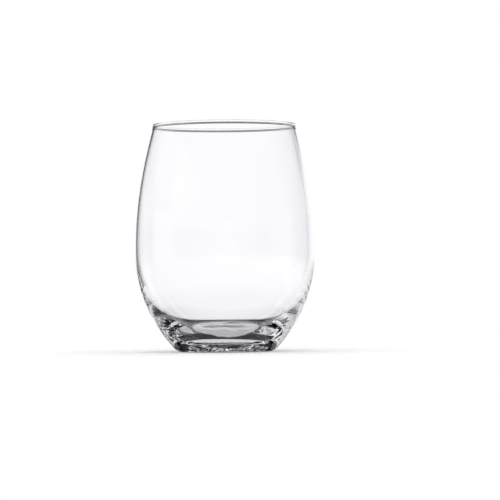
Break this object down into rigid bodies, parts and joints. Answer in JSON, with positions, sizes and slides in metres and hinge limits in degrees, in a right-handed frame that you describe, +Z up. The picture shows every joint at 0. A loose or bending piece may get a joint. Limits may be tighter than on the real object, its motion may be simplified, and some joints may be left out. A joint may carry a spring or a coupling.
{
  "type": "stemless wine glass",
  "caption": "Clear stemless wine glass with an egg-shaped bowl drawn in to a beaded rim, thin walls and a thick rounded base on a flat ring.",
  "frame": {"origin": "centre of the flat ring that the glass stands on", "axes": "+Z up along the glass's axis of turn, from the base to the rim; X and Y are alike"},
  "size_m": [0.0872, 0.0872, 0.11],
  "materials": {
    "clear_glass": "fire-polished, clear and colourless"
  },
  "bodies": {
    "root": {"glass_body": "clear_glass"}
  },
  "joints": []
}
